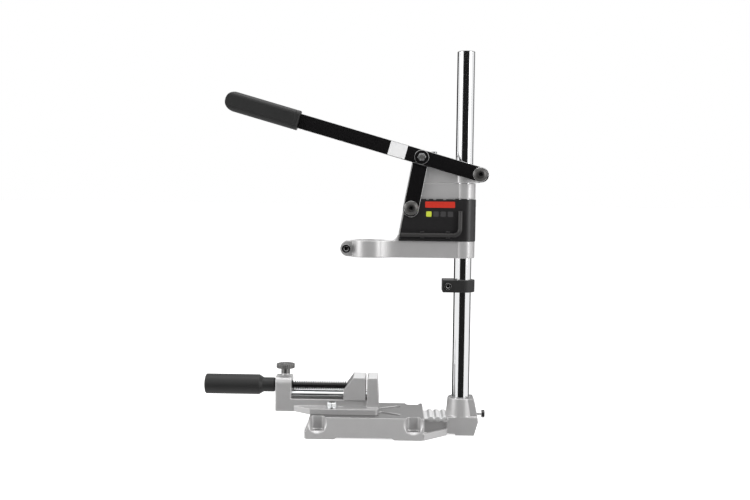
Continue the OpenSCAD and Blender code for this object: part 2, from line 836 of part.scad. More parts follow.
module fulcrum_block() color(alloy) {
    lug_r = 10.4;
    lug_y = strip_y - 0.7;
    boss_top = block_z + block_boss_h;
    difference() {
        union() {
            translate([0, 0, block_z])
            cylinder(r = block_boss_r, h = block_boss_h);
            along_y(-web_half, web_half)
            polygon([[nose_x, block_z], [nose_x, fulcrum[1] + 2], [nose_x + nose_lean, nose_top - 5],
                     [nose_x + nose_lean + 3, nose_top], [mid[0] + 25, nose_top],
                     [-column_r, boss_top], [0, boss_top], [0, block_z]]);
            bar_y(fulcrum, lug_r, -lug_y, lug_y);
            translate([0, -web_half + 2, fulcrum[1] - lug_r])
            cube([fulcrum_back, 2 * web_half - 4, 2 * lug_r]);
        }
        translate([0, 0, block_z - over])
        cylinder(r = column_r + fit, h = 3 * block_boss_h);
        bar_y(fulcrum, fulcrum_bolt_d / 2 + fit, -lug_y - over, lug_y + over);
        bar_x([0, block_z + block_boss_h / 2], set_screw_d / 2 + fit, nose_x - over, -column_r + over);
        translate([stop_screw_x, stop_screw_y, nose_top - 14])
        cylinder(r = 2.5 + fit, h = 20);
    }
}

module block_set_screw() color(black_steel)
    difference() {
        bar_x([0, block_z + block_boss_h / 2], set_screw_d / 2, -column_r - set_screw_l, -column_r - fit);
        translate([-column_r - set_screw_l - over, 0, block_z + block_boss_h / 2])
        rotate([0, 90, 0])
        cylinder(d = 4 / cos(30), h = 4 + over, $fn = 6);
    }

// Hex screw in the block's nose, whose head shows over the lever
module lever_stop_screw() color(bright_steel)
    translate([stop_screw_x, stop_screw_y, 0]) {
        translate([0, 0, nose_top - 13])
        cylinder(r = 2.5, h = 13);
        translate([0, 0, nose_top])
        cylinder(d = 8 / cos(30), h = 6.5, $fn = 6);
    }

module fulcrum_bolt() color(grey_steel)
    low_head_bolt(fulcrum, fulcrum_bolt_d, strip_out + head_gap, strip_out + 7);

module fulcrum_nut() color(grey_steel)
    nut_y(fulcrum, fulcrum_bolt_d, 1.6 * fulcrum_bolt_d, strip_out + head_gap, strip_out + 6);

// The arm from above, with hollow corners where it meets the collar
module arm_outline() {
    collar_r = collar_d / 2 + collar_wall;
    blend_r = 56;
    blend_x = sqrt(pow(collar_r + blend_r, 2) - pow(web_half + blend_r, 2)) - 0.15;
    circle(boss_r);
    translate([-reach, -web_half])
    square([reach, web_w]);
    translate([-reach, 0]) {
        circle(collar_r);
        for (side = [0, 1])
            mirror([0, side])
            difference() {
                square([blend_x, collar_r * (web_half + blend_r) / (collar_r + blend_r)]);
                translate([blend_x, web_half + blend_r - 0.05])
                circle(blend_r);
            }
    }
}

// Hollow on each side of the web, which leaves a rim round it
module web_hollow(side) {
    rim = 8;
    low = arm_top + 4;
    high = upper_z - 4;
    translate([0, side > 0 ? web_core / 2 : -web_half - over, 0])
    along_y(0, web_half - web_core / 2 + over)
    polygon([[web_x(low) + rim, low], [-boss_r - 4, low], [-boss_r - 4, high], [web_x(high) + rim, high]]);
}

module carriage_casting() color(alloy) {
    fillet_r = 7;
    corner = web_x(arm_top);
    difference() {
        union() {
            translate([0, 0, arm_z])
            linear_extrude(arm_h)
            arm_outline();
            along_y(-ear_half, ear_half) {
                translate([ear_x, ear_z])
                circle(ear_r);
                translate([ear_x, ear_z - ear_r])
                square([-reach - collar_d / 2 - ear_x, 2 * ear_r]);
            }
            along_y(-web_half, web_half)
            polygon([[web_x(arm_top), arm_top - over], [web_x(arm_top), arm_top], [web_x(carriage_top), carriage_top],
                     [-boss_r, carriage_top], [-boss_r, arm_top - over]]);
            along_y(-horn_half, horn_half)
            polygon([[web_x(carriage_top), carriage_top], [web_x(horn_top), horn_top], [horn_back - 4, horn_top],
                     [horn_back, horn_top - 4], [horn_back, carriage_top - over],
                     [web_x(carriage_top), carriage_top - over]]);
            translate([0, -web_half, upper_z])
            mirror([1, 0, 0])
            cube([boss_r + over, web_w, upper_h]);
            translate([0, 0, upper_z])
            cylinder(r = boss_r, h = upper_h);
            along_y(-web_half, web_half)
            difference() {
                translate([corner - fillet_r, arm_top - over])
                square([fillet_r + 2, fillet_r + over]);
                translate([corner - fillet_r, arm_top + fillet_r])
                circle(fillet_r);
            }
        }
        for (side = [-1, 1])
            web_hollow(side);
        translate([0, 0, arm_z - over])
        cylinder(r = bush_r, h = carriage_h + 2 * over);
        translate([0, 0, arm_top])
        cylinder(r = cover_r - cover_wall, h = upper_z - arm_top);
        translate([-reach, 0, arm_z - over])
        cylinder(r = collar_d / 2, h = arm_h + 2 * over);
        translate([ear_x - 2 * ear_r, -collar_slit / 2, arm_z - over])
        cube([-reach - ear_x + 2 * ear_r, collar_slit, arm_h + 2 * over]);
        bar_y(clamp_screw, collar_screw_d / 2 + 0.2, -web_w, web_w);
        bar_y(lower, lower_bolt_d / 2 + fit, -web_w, web_w);
    }
    difference() {
        bar_y(lower, pivot_boss_r, -pivot_boss_y, pivot_boss_y);
        bar_y(lower, lower_bolt_d / 2 + fit, -web_w, web_w);
    }
}

module bush(z, h)
    translate([0, 0, z])
    difference() {
        cylinder(r = bush_r, h = h);
        translate([0, 0, -over])
        cylinder(r = column_r + fit, h = h + 2 * over);
    }

module upper_bush() color(bronze)
    bush(upper_z, upper_h);

module lower_bush() color(bronze)
    bush(arm_z, arm_h);

// Hook on the cover that holds the hex key, open to the near side
module key_clip(x) {
    hook = 1.8;
    hook_y = key_y - key_w / 2 + 0.6;
    slot_h = key_w + 0.3;
    difference() {
        translate([x - clip_w / 2, hook_y, key_z - slot_h / 2 - hook])
        cube([clip_w, -cover_r - hook_y + 1, slot_h + 2 * hook]);
        translate([x - clip_w, hook_y - over, key_z - slot_h / 2])
        cube([2 * clip_w, -cover_r - hook_y - 0.2 + over, slot_h]);
    }
}

module cover() color(black_plastic) {
    inner = cover_r - cover_wall;
    front = web_x(cover_z0) + 2;
    front_top = web_x(cover_z1) + 2;
    lip_h = 3;
    notch = [4, 1.2];
    difference() {
        union() {
            intersection() {
                translate([0, 0, cover_z0])
                linear_extrude(cover_z1 - cover_z0)
                difference() {
                    union() {
                        circle(cover_r);
                        translate([front, -cover_r])
                        square([-front, 2 * cover_r]);
                    }
                    circle(inner);
                    translate([front - over, -inner])
                    square([over - front, 2 * inner]);
                }
                along_y(-2 * cover_r, 2 * cover_r)
                polygon([[front, cover_z0 - over], [front, cover_z0], [front_top, cover_z1], [2 * cover_r, cover_z1],
                         [2 * cover_r, cover_z0 - over]]);
            }
            translate([front, -cover_r - 1, cover_z0])
            cube([-front - cover_r, 1 + cover_wall / 2, lip_h]);
            for (x = clip_places)
                key_clip(x);
        }
        bar_y(lower, pivot_boss_r + 0.4, -2 * cover_r, 2 * cover_r);
        for (x = [-54, -44, -30])
            translate([x, -cover_r - over, cover_z1 - notch[1]])
            cube([notch[0], cover_wall + 2 * over, notch[1] + over]);
        bar_x([0, seat_z + seat_h / 2], 2.2, inner - over, cover_r + over);
    }
}

// Points of the spring's tube: rings of the wire along a helix
spring_rings = 16;
wire_sides = 6;
spring_z0 = seat_top + wire_d / 2 + 0.1;
spring_z1 = upper_z - wire_d / 2 - 0.1;
spring_steps = spring_curls * spring_rings;
spring_pitch = (spring_z1 - spring_z0) / spring_curls;

function spring_axis(i) = [spring_r * cos(i * 360 / spring_rings), spring_r * sin(i * 360 / spring_rings),
                           spring_z0 + i * spring_pitch / spring_rings];
function wire_point(i, k) =
    let (turn = i * 360 / spring_rings, side = k * 360 / wire_sides, r = spring_r + wire_d / 2 * cos(side))
    [r * cos(turn), r * sin(turn), spring_axis(i)[2] + wire_d / 2 * sin(side)];

function at(i, k) = i * wire_sides + k % wire_sides;

module return_spring() color(bright_steel) {
    points = [for (i = [0 : spring_steps], k = [0 : wire_sides - 1]) wire_point(i, k)];
    walls = [for (i = [0 : spring_steps - 1], k = [0 : wire_sides - 1], half = [0, 1])
                 half == 0 ? [at(i, k), at(i + 1, k), at(i + 1, k + 1)]
                           : [at(i, k), at(i + 1, k + 1), at(i, k + 1)]];
    start = [for (k = [1 : wire_sides - 2]) [at(0, 0), at(0, k), at(0, k + 1)]];
    finish = [for (k = [1 : wire_sides - 2])
                  [at(spring_steps, 0), at(spring_steps, k + 1), at(spring_steps, k)]];
    polyhedron(points, concat(walls, start, finish));
}

// Least gap between neighbouring curls, measured on the tube's own points
spring_gap = min([for (i = [0 : spring_rings - 1], k = [0 : wire_sides - 1], n = [0 : wire_sides - 1])
                      norm(wire_point(i + spring_rings, n) - wire_point(i, k))]);
echo(spring_gap = spring_gap);

module collar_screw() color(black_steel)
    cap_screw_y(clamp_screw, collar_screw_d, ear_half, ear_half + 8);

module collar_nut() color(grey_steel)
    nut_y(clamp_screw, collar_screw_d, 1.625 * collar_screw_d, ear_half, ear_half + 6.5);

module lower_bolt() color(grey_steel)
    low_head_bolt(lower, lower_bolt_d, link_y + link_t + head_gap, link_y + link_t + 8);

module lower_nut() color(grey_steel)
    nut_y(lower, lower_bolt_d, 1.625 * lower_bolt_d, link_y + link_t + head_gap, link_y + link_t + 6.8);

// Holes for the fulcrum bolt and the mid bolt, through both strips
module strip_holes() {
    bar_y([0, 0], fulcrum_bolt_d / 2 + fit, -2 * strip_out, 2 * strip_out);
    bar_y([-mid_pivot, 0], mid_bolt_d / 2 + fit, -2 * strip_out, 2 * strip_out);
}

// The long strip, which carries the grip
module lever_strip_near() color(black_steel)
    at_lever()
    difference() {
        along_y(-strip_out, -strip_y) {
            translate([-strip_end, -lever_w / 2])
            square([strip_end + strip_tail, lever_w]);
            translate([strip_tail, 0])
            circle(lever_w / 2);
        }
        strip_holes();
    }

// The short strip, which ends round the mid bolt
module lever_strip_far() color(black_steel)
    at_lever()
    difference() {
        along_y(strip_y, strip_out) {
            translate([-mid_pivot, -lever_w / 2])
            square([mid_pivot + strip_tail, lever_w]);
            for (x = [strip_tail, -mid_pivot])
                translate([x, 0])
                circle(lever_w / 2);
        }
        strip_holes();
    }

// The grip is what its side, its plan and its section have in common, so all its edges are round
module lever_grip() color(grip_plastic)
    at_lever()
    translate([0, -strip_y - lever_t / 2, 0])
    difference() {
        section_r = 0.36 * grip_t;
        half_w = grip_w / 2;
        half_t = grip_t / 2;
        intersection() {
            along_y(-grip_t, grip_t) {
                translate([-lever_l + half_w, 0])
                circle(half_w);
                translate([-lever_l + half_w, -half_w])
                square([grip_l - half_w, grip_w]);
            }
            along_x(-lever_l - over, -grip_start + over)
            round_rect(-half_t, half_t, -half_w, half_w, section_r);
            translate([0, 0, -grip_w])
            linear_extrude(2 * grip_w)
            round_rect(-lever_l, -grip_start, -half_t, half_t, 2);
        }
        translate([-strip_end, -lever_t / 2, -lever_w / 2])
        cube([strip_end, lever_t, lever_w]);
    }

module mid_bolt() color(grey_steel) {
    head_y = strip_out + 1.6;
    bar_y(mid, mid_bolt_d / 2, -head_y - 6, head_y);
    hex_y(mid, 1.667 * mid_bolt_d, head_y, head_y + 4);
}

module mid_nut() color(bright_steel)
    nut_y(mid, mid_bolt_d, 1.667 * mid_bolt_d, -strip_out - 1.6 - 5, -strip_out - 1.6);

module mid_washers() color(black_steel)
    for (side = [0, 1])
        mirror([0, side, 0])
        difference() {
            bar_y(mid, bolt_head_d / 2, strip_out, strip_out + 1.6);
            bar_y(mid, mid_bolt_d / 2 + fit, strip_out - over, strip_out + 2 + over);
        }

// Tube that keeps the links apart on the mid bolt
module mid_spacer() color(grey_steel)
    difference() {
        bar_y(mid, spacer_r, -link_y + head_gap, link_y - head_gap);
        bar_y(mid, mid_bolt_d / 2 + fit, -link_y, link_y);
    }

module link(side)
    translate([lower[0], 0, lower[1]])
    rotate([0, link_lean, 0])
    mirror([0, side, 0])
    difference() {
        along_y(-link_y - link_t, -link_y) {
            for (z = [-link_tail, link_l])
                translate([0, z])
                circle(d = link_w);
            translate([-link_w / 2, -link_tail])
            square([link_w, link_l + link_tail]);
        }
        bar_y([0, 0], lower_bolt_d / 2 + fit, -strip_out, 0);
        bar_y([0, link_l], mid_bolt_d / 2 + mid_play, -strip_out, 0);
    }

module link_near() color(black_steel)
    link(0);

module link_far() color(black_steel)
    link(1);

module hex_key() color(grey_steel) {
    key_d = key_w / cos(30);
    bend_d = key_d + 0.2;
    dip = 1;
    translate([key_x - key_bend - key_long, key_y, key_z])
    rotate([0, 90, 0])
    rotate([0, 0, 30])
    cylinder(d = key_d, h = key_long + dip, $fn = 6);
    translate([key_x, key_y, key_z + key_bend - dip])
    rotate([0, 0, 90])
    cylinder(d = key_d, h = key_short - key_bend + dip, $fn = 6);
    translate([key_x - key_bend, key_y, key_z + key_bend])
    rotate([90, 0, 0])
    rotate([0, 0, -90])
    rotate_extrude(angle = 90)
    translate([key_bend, 0])
    rotate([0, 0, 30])
    circle(d = bend_d, $fn = 6);
}

base_casting();
column();
column_plug();
socket_screw();
vice_body();
guide_rods();
thread_key();
vice_bolts();
vice_washers();
vice_nuts();
moving_jaw();
jaw_pin();
vice_screw();
vice_handle();
lock_knob();
stop_ring();
stop_ring_screw();
spring_seat();
seat_screw();
fulcrum_block();
block_set_screw();
lever_stop_screw();
fulcrum_bolt();
fulcrum_nut();
carriage_casting();
upper_bush();
lower_bush();
cover();
return_spring();
collar_screw();
collar_nut();
lower_bolt();
lower_nut();
lever_strip_near();
lever_strip_far();
lever_grip();
mid_bolt();
mid_nut();
mid_washers();
mid_spacer();
link_near();
link_far();
hex_key();
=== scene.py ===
"""Drill stand: a chromed column on a cast base, a sprung carriage with a drill collar, a feed lever
with two links, a depth stop ring and a small machine vice. Metres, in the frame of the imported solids."""
import bpy
from math import radians, sin, cos, pi
from mathutils import Matrix, Vector


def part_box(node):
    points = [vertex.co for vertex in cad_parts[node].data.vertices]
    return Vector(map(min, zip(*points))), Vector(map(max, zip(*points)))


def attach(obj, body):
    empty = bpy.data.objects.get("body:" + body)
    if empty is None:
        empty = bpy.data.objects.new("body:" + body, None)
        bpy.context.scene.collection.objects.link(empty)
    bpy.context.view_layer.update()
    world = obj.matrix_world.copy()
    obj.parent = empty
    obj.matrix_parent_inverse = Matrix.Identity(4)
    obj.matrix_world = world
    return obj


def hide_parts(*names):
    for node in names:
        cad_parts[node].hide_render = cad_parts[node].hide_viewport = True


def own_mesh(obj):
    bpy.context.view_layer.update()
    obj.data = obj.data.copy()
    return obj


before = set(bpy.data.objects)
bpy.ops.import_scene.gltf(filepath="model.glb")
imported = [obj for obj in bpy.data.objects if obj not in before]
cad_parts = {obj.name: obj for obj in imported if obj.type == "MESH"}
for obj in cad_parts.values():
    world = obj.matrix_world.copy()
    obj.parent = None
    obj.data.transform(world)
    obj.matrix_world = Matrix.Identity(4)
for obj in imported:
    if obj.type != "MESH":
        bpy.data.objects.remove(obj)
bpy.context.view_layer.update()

# Base casting
# One pressure die casting in aluminium alloy: the plate on its feet, the ribbed neck and the column's
# socket. Its edges and inner corners leave the mould rounded, and tumbling gives it a satin skin.
mm = 0.001


def srgb(code):
    parts = [int(code[i:i + 2], 16) / 255 for i in (1, 3, 5)]
    return [c / 12.92 if c <= 0.04045 else ((c + 0.055) / 1.055) ** 2.4 for c in parts] + [1.0]


def put(tree, kind, inputs, **settings):
    """Adds one node, with its settings, and a value or a link for each named input"""
    made = tree.nodes.new(kind)
    for key, value in settings.items():
        setattr(made, key, value)
    for key, value in inputs.items():
        if isinstance(value, bpy.types.NodeSocket):
            tree.links.new(value, made.inputs[key])
        else:
            made.inputs[key].default_value = value
    return made


def grained(name, low, high, patch, grain, rough, metallic, bump, stretch=(1, 1, 1)):
    """A finish with soft patches of colour and a fine grain in its shine and surface; sizes in metres.
    The real grains are 0.05 to 0.3 mm, and are drawn several times coarser so that they show"""
    material = bpy.data.materials.new(name)
    material.use_nodes = True
    tree = material.node_tree
    shader = tree.nodes["Principled BSDF"]
    shader.inputs["Metallic"].default_value = metallic
    place = put(tree, "ShaderNodeTexCoord", {}).outputs["Object"]
    laid = put(tree, "ShaderNodeMapping", {"Vector": place, "Scale": stretch}).outputs["Vector"]
    cloud = put(tree, "ShaderNodeTexNoise",
                {"Vector": laid, "Scale": 1 / patch, "Detail": 4.0, "Roughness": 0.6})
    tone = put(tree, "ShaderNodeMix", {"Factor": cloud.outputs["Fac"]}, data_type="RGBA")
    first, second = [socket for socket in tone.inputs if socket.type == "RGBA"]
    first.default_value = srgb(low)
    second.default_value = srgb(high)
    mixed = [socket for socket in tone.outputs if socket.type == "RGBA"][0]
    tree.links.new(mixed, shader.inputs["Base Color"])
    skin = put(tree, "ShaderNodeTexNoise",
               {"Vector": laid, "Scale": 1 / grain, "Detail": 3.0, "Roughness": 0.55})
    shine = put(tree, "ShaderNodeMapRange", {"Value": skin.outputs["Fac"], "From Min": 0.3, "From Max": 0.7,
                                             "To Min": rough[0], "To Max": rough[1]})
    tree.links.new(shine.outputs["Result"], shader.inputs["Roughness"])
    relief = put(tree, "ShaderNodeBump",
                 {"Height": skin.outputs["Fac"], "Strength": bump, "Distance": 0.1 * mm})
    tree.links.new(relief.outputs["Normal"], shader.inputs["Normal"])
    return material


# Die-cast aluminium under a coat of silver lacquer: an even light grey with a soft gloss, a little
# uneven where the mould was hotter. The real grain is about 0.3 mm; it is drawn at 1.8 mm to show.
cast_alloy = grained("silver_lacquered_aluminium", "#bdbcbc", "#c8c7c7",
                     22 * mm, 1.8 * mm, (0.3, 0.38), 0.4, 0.12)
# The same casting where it is milled flat and left bare: grey, with a dull mirror.
milled_table = grained("milled_aluminium_table", "#7b7a7a", "#858484",
                       18 * mm, 1.2 * mm, (0.38, 0.46), 0.5, 0.08, (0.2, 1, 1))


def select_only(piece):
    bpy.ops.object.select_all(action="DESELECT")
    piece.select_set(True)
    bpy.context.view_layer.objects.active = piece


def copied(node):
    """A copy of a solid's mesh, with its loose facets joined"""
    piece = bpy.data.objects.new(node + "_piece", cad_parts[node].data.copy())
    bpy.context.scene.collection.objects.link(piece)
    select_only(piece)
    bpy.ops.mesh.customdata_custom_splitnormals_clear()
    bpy.ops.object.mode_set(mode="EDIT")
    bpy.ops.mesh.select_all(action="SELECT")
    bpy.ops.mesh.remove_doubles(threshold=2e-6)
    bpy.ops.mesh.tris_convert_to_quads(face_threshold=radians(1), shape_threshold=pi)
    bpy.ops.object.mode_set(mode="OBJECT")
    return piece


def smoothed(piece, angle):
    """Shades the curved faces smooth and keeps the flat ones flat"""
    select_only(piece)
    bpy.ops.object.shade_smooth_by_angle(angle=radians(angle))
    flat = piece.modifiers.new("flat_faces", "WEIGHTED_NORMAL")
    flat.mode = "FACE_AREA"
    flat.weight = 50
    flat.keep_sharp = True
    bpy.ops.object.modifier_apply(modifier=flat.name)


def painted(piece, *materials):
    piece.data.materials.clear()
    for material in materials:
        piece.data.materials.append(material)


def stands_for(piece, node, body):
    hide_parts(node)
    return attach(piece, body)


def cast(node, body, facet, rounds, share, milled, milled_z):
    """A casting: the solid drawn again in small even faces and worn smooth, so that all its edges and
    inner corners are round; flat parts then give up most of their faces. Its level faces above a
    height are milled"""
    piece = copied(node)
    even = piece.modifiers.new("even_faces", "REMESH")
    even.mode = "VOXEL"
    even.voxel_size = facet
    bpy.ops.object.modifier_apply(modifier=even.name)
    worn = piece.modifiers.new("round_edges", "SMOOTH")
    worn.factor = 0.5
    worn.iterations = rounds
    bpy.ops.object.modifier_apply(modifier=worn.name)
    thin = piece.modifiers.new("fewer_faces", "DECIMATE")
    thin.ratio = share
    bpy.ops.object.modifier_apply(modifier=thin.name)
    smoothed(piece, 50)
    painted(piece, cast_alloy, milled)
    for face in piece.data.polygons:
        level = face.normal.z > 0.985
        face.material_index = 1 if level and face.center.z > milled_z else 0
    return stands_for(piece, node, body)


table_z = 29.2 * mm
base = cast("base_casting", "base", 0.6 * mm, 5, 0.28, milled_table, table_z)
# The ribs of the neck carry a painted highlight: their faces that don't look down are made near white.
ribs_painted_highlight = grained("painted_highlight_ribs", "#e2e2e2", "#eeeeee",
                         9 * mm, 1.4 * mm, (0.28, 0.36), 0.5, 0.1)
base.data.materials.append(ribs_painted_highlight)
ribs_from, ribs_to, ribs_half, ribs_foot = -52 * mm, -21.5 * mm, 25 * mm, 22.4 * mm
for face in base.data.polygons:
    place = face.center
    on_neck = ribs_from < place.x < ribs_to and abs(place.y) < ribs_half
    if on_neck and place.z > ribs_foot and face.normal.z > -0.2:
        face.material_index = 2

# Column
# A drawn steel tube, ground, polished and chromed, pressed into the socket and locked by a screw
# from behind. A moulded plug closes its top end.


def dressed(node, body, material, edge, segments=2, painted_edge=None):
    """A copy of a solid with its edges broken, which stands for it; its broken edges may take a painted
    highlight
    """
    piece = copied(node)
    painted(piece, material, *([painted_edge] if painted_edge else []))
    if edge:
        broken = piece.modifiers.new("broken_edges", "BEVEL")
        broken.width = edge
        broken.segments = segments
        broken.limit_method = "ANGLE"
        broken.angle_limit = radians(32)
        broken.use_clamp_overlap = False
        broken.loop_slide = False
        broken.material = 1 if painted_edge else -1
        bpy.ops.object.modifier_apply(modifier=broken.name)
    smoothed(piece, 34)
    return stands_for(piece, node, body)


# Decorative chrome over polished steel: a mirror, with faint drawing lines along the tube.
chrome = grained("polished_chrome", "#e9eaeb", "#f3f3f4",
                 60 * mm, 2.2 * mm, (0.05, 0.09), 1.0, 0.02, (1, 1, 0.06))

# Moulded ABS, dyed black, with a fine spark-eroded grain that keeps its shine low.
black_plastic = grained("moulded_abs_black", "#1b1a1b", "#232223",
                        30 * mm, 1.5 * mm, (0.3, 0.42), 0.0, 0.25)
dressed("column_plug", "base", black_plastic, 0.4 * mm)

# The tube's top end is rounded over after chroming; its rim is painted black, in the plug's plastic, as
# painted shade.
column = dressed("column", "base", chrome, 0, painted_edge=black_plastic)
shaded_rim_h = 0.92 * mm
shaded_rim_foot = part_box("column")[1].z - shaded_rim_h
for face in column.data.polygons:
    face.material_index = 1 if face.center.z > shaded_rim_foot else 0

# Steel with a black oxide skin, oiled: dark grey, silky, a little lighter where it is handled.
dark_steel = grained("black_oxide_steel", "#484746", "#545352",
                     7 * mm, 0.9 * mm, (0.3, 0.4), 0.7, 0.1)
# A painted highlight for broken edges: bright steel with fine scratches, in place of the light that edges
# catch.
painted_edge_highlight = grained("painted_edge_highlight_steel", "#d8d8d8", "#e8e8e8",
                     4 * mm, 0.7 * mm, (0.22, 0.34), 1.0, 0.1)
# The shank is painted in the bright edge-highlight steel, a painted highlight; the head is dark oxide.
socket_screw = dressed("socket_screw", "base", painted_edge_highlight, 0.45 * mm, painted_edge=dark_steel)
screw_head_x = 30.4 * mm
for face in socket_screw.data.polygons:
    face.material_index = 1 if face.center.x > screw_head_x else 0

# Vice body
# A second casting, bolted on the table through its flange: bed, fixed jaw and front block in one.
# The jaw tops and the front block's top are milled bright.

# Aluminium cut with a sharp mill: near white, with a soft mirror drawn along the cut.
milled_bright = grained("milled_aluminium_bright", "#e4e4e4", "#efefef",
                        14 * mm, 1.2 * mm, (0.32, 0.4), 0.5, 0.06, (0.2, 1, 1))
jaw_tops_z = 70 * mm
cast("vice_body", "base", 0.55 * mm, 5, 0.33, milled_bright, jaw_tops_z)

# Guide rods and the thread key
# Two ground steel rods pressed into the body, which guide the moving jaw, and a brass plug that the
# lock knob presses on the screw's thread.

# Ground and polished steel rod: a soft mirror with rings from the grinding.
ground_steel = grained("ground_steel", "#cccdce", "#d9dadb",
                       40 * mm, 1.6 * mm, (0.1, 0.16), 1.0, 0.04, (0.1, 1, 1))
dressed("guide_rods", "base", ground_steel, 0)

# Turned brass, dulled by handling.
brass = grained("turned_brass", "#a88449", "#b8955a",
                8 * mm, 0.8 * mm, (0.28, 0.38), 1.0, 0.1)


def finished(node, material):
    """A solid that is shown as it is, in its own finish"""
    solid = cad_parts[node]
    solid.data.materials.clear()
    solid.data.materials.append(material)


finished("thread_key", brass)

# Hold-down bolts of the vice
# Two M8 bolts of phosphated steel, up through the table's slots, each with a washer and a nut in
# bright zinc plate.

# Turned steel with an oiled, phosphated skin: mid grey and silky.
grey_steel = grained("phosphated_steel", "#7f7e7d", "#939291",
                     9 * mm, 0.9 * mm, (0.3, 0.42), 0.9, 0.2)
# Zinc plating, passivated clear: a bright, slightly bluish metal with faint cloudy spangles.
zinc = grained("bright_zinc_plate", "#d3d5d6", "#e4e5e5",
               4 * mm, 0.8 * mm, (0.22, 0.36), 1.0, 0.1)
dressed("vice_bolts", "base", grey_steel, 0.4 * mm)
dressed("vice_washers", "base", zinc, 0.25 * mm)
dressed("vice_nuts", "base", zinc, 0.6 * mm)

# Moving jaw
# An aluminium casting with a milled top, bored to slide on the two rods. A steel pin from below
# holds the end of the vice screw in it.
cast("moving_jaw", "vice_jaw", 0.5 * mm, 5, 0.4, milled_bright, jaw_tops_z)
finished("jaw_pin", grey_steel)

# Vice screw
# A steel spindle with a rolled right-hand thread of 3.3 mm pitch, blackened; its tang is pressed into
# the handle, and the groove of its plain nose turns on the jaw's pin.

# Blackened steel with a coat of lacquer: near black, with a sharp gloss on edges.
black_steel = grained("black_lacquered_steel", "#0d0c0d", "#121112",
                      25 * mm, 2.5 * mm, (0.22, 0.26), 0.0, 0.03)

screw_axis = Vector((0, 0, 64.5)) * mm
crest_r, root_r, pitch = 6.25 * mm, 4.0 * mm, 3.3 * mm
thread_start, thread_turns = -266.6 * mm, 31


def drawn_line(name, points):
    """A line of straight strokes, drawn vertex by vertex from its first point"""
    bpy.ops.object.select_all(action="DESELECT")
    bpy.ops.mesh.primitive_plane_add(size=0.01, location=(0, 0, 0))
    line = bpy.context.object
    line.name = name
    bpy.ops.object.mode_set(mode="EDIT")
    bpy.ops.mesh.select_all(action="SELECT")
    bpy.ops.mesh.merge(type="CENTER")
    bpy.ops.transform.translate(value=points[0])
    for here, there in zip(points, points[1:]):
        bpy.ops.mesh.extrude_vertices_move(TRANSFORM_OT_translate={"value": Vector(there) - Vector(here)})
    bpy.ops.object.mode_set(mode="OBJECT")
    return line


def turned(line, axis, steps, rise=0.0, turns=1):
    """The line turned about an axis through the origin, as on a lathe or along a thread"""
    lathe = line.modifiers.new("turned", "SCREW")
    lathe.axis = axis
    lathe.steps = steps
    lathe.render_steps = steps
    lathe.screw_offset = rise
    lathe.iterations = turns
    select_only(line)
    bpy.ops.object.modifier_apply(modifier=lathe.name)
    bpy.ops.object.mode_set(mode="EDIT")
    bpy.ops.mesh.select_all(action="SELECT")
    bpy.ops.mesh.remove_doubles(threshold=2e-6)
    bpy.ops.mesh.select_all(action="DESELECT")
    bpy.ops.mesh.select_non_manifold()
    bpy.ops.mesh.fill_holes(sides=0)
    bpy.ops.mesh.select_all(action="SELECT")
    bpy.ops.mesh.normals_make_consistent(inside=False)
    bpy.ops.object.mode_set(mode="OBJECT")
    return line


tooth = [(0, root_r), (0.14, crest_r), (0.54, crest_r), (0.68, root_r), (1, root_r)]
tooth_line = drawn_line("thread", [(thread_start + x * pitch, r, 0) for x, r in tooth])
round_steps = 40
thread = turned(tooth_line, "X", round_steps, pitch, thread_turns)
# Tang, core, pin groove and nose: places along the screw and radii, in millimetres
core_outline = [(-281.5, 0), (-281.5, 3.2), (-281.1, 3.6), (-267.5, 3.6),
                (-267.5, 4.05), (-161.2, 4.05),
                (-161.2, 2.7), (-157.4, 2.7),
                (-157.4, 4.0), (-155.7, 4.0), (-155.3, 3.6), (-155.3, 0)]
core_line = drawn_line("vice_screw_piece", [(x * mm, r * mm, 0) for x, r in core_outline])
core = turned(core_line, "X", round_steps)
select_only(core)
thread.select_set(True)
bpy.ops.object.join()
bpy.ops.object.mode_set(mode="EDIT")
bpy.ops.mesh.select_all(action="SELECT")
bpy.ops.transform.translate(value=screw_axis)
bpy.ops.object.mode_set(mode="OBJECT")
bpy.ops.object.shade_smooth_by_angle(angle=radians(28))
painted(core, black_steel)
stands_for(core, "vice_screw", "vice_spindle")

# Vice handle
# A round grip with a narrow neck, moulded in one piece over the screw's tang in a firm dark grey
# plastic. It turns with the screw.

# Moulded polypropylene, dark grey, satin, with a fine leathery grain.
grip_plastic = grained("moulded_grip_plastic", "#212121", "#292929",
                       26 * mm, 1.6 * mm, (0.42, 0.55), 0.0, 0.3)
grip_plastic.node_tree.nodes["Principled BSDF"].inputs["Specular IOR Level"].default_value = 0.35
dressed("vice_handle", "vice_spindle", grip_plastic, 0.5 * mm)

# Lock knob
# A turned steel screw with a knurled disc, phosphated grey, in the top of the front block. It clamps
# the vice screw through the thread key.
dressed("lock_knob", "knob", grey_steel, 0.25 * mm)

# Depth stop ring
# A split ring of moulded plastic, clamped on the column under the carriage by one black cap screw.
# The carriage comes down on it at the end of the feed.
dressed("stop_ring", "stop", grip_plastic, 0.6 * mm)
# The screw's broken edges carry a painted highlight.
dressed("stop_ring_screw", "stop", black_steel, 0.4 * mm, painted_edge=painted_edge_highlight)

# Return spring and its seat
# A steel ring held on the column by a grub screw; the spring stands on it and lifts the carriage
# by the upper boss. It is wound from round wire.
dressed("spring_seat", "seat", grey_steel, 0.4 * mm)
finished("seat_screw", black_steel)

# Patented spring wire with a thin coat of zinc: grey, silky, with drawing lines.
spring_wire = grained("drawn_spring_wire", "#a7a8a9", "#bbbcbd",
                      3 * mm, 0.6 * mm, (0.24, 0.34), 1.0, 0.1)
wire_r, coil_r, curls = 0.8 * mm, 13.95 * mm, 7
seat_top, spring_foot, spring_head = 284.3 * mm, 285.2 * mm, 334.3 * mm
coil_pitch = (spring_head - spring_foot) / curls
